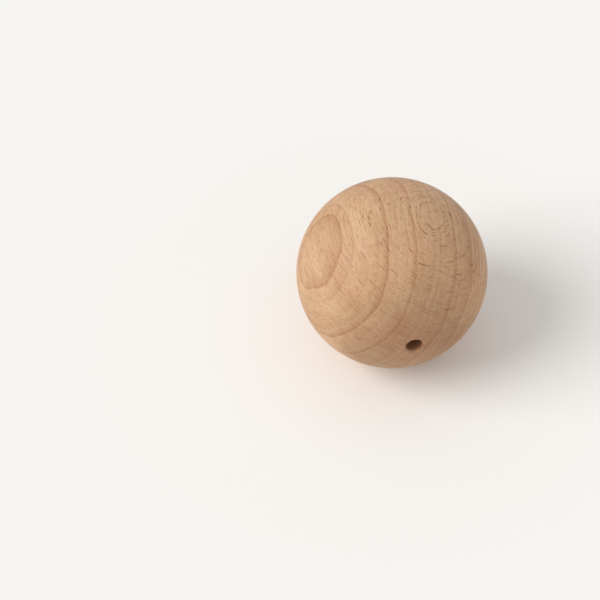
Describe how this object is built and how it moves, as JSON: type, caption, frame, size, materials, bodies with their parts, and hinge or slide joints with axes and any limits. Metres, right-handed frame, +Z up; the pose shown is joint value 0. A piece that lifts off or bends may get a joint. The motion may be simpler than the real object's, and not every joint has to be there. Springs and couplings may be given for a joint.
{
  "type": "drilled wooden ball",
  "caption": "Turned wooden ball with a straight bore right through its middle, for threading on a cord, rod or dowel.",
  "frame": {"origin": "centre of the ball, midway along the bore", "axes": "+Z up as the ball lies in the picture; the bore is level along Y and the mouth that the picture shows is at -Y; +X to the right"},
  "size_m": [0.06, 0.0596, 0.06],
  "materials": {
    "beech": "fine-sanded bare beech, no varnish"
  },
  "bodies": {
    "root": {"ball": "beech"}
  },
  "joints": []
}
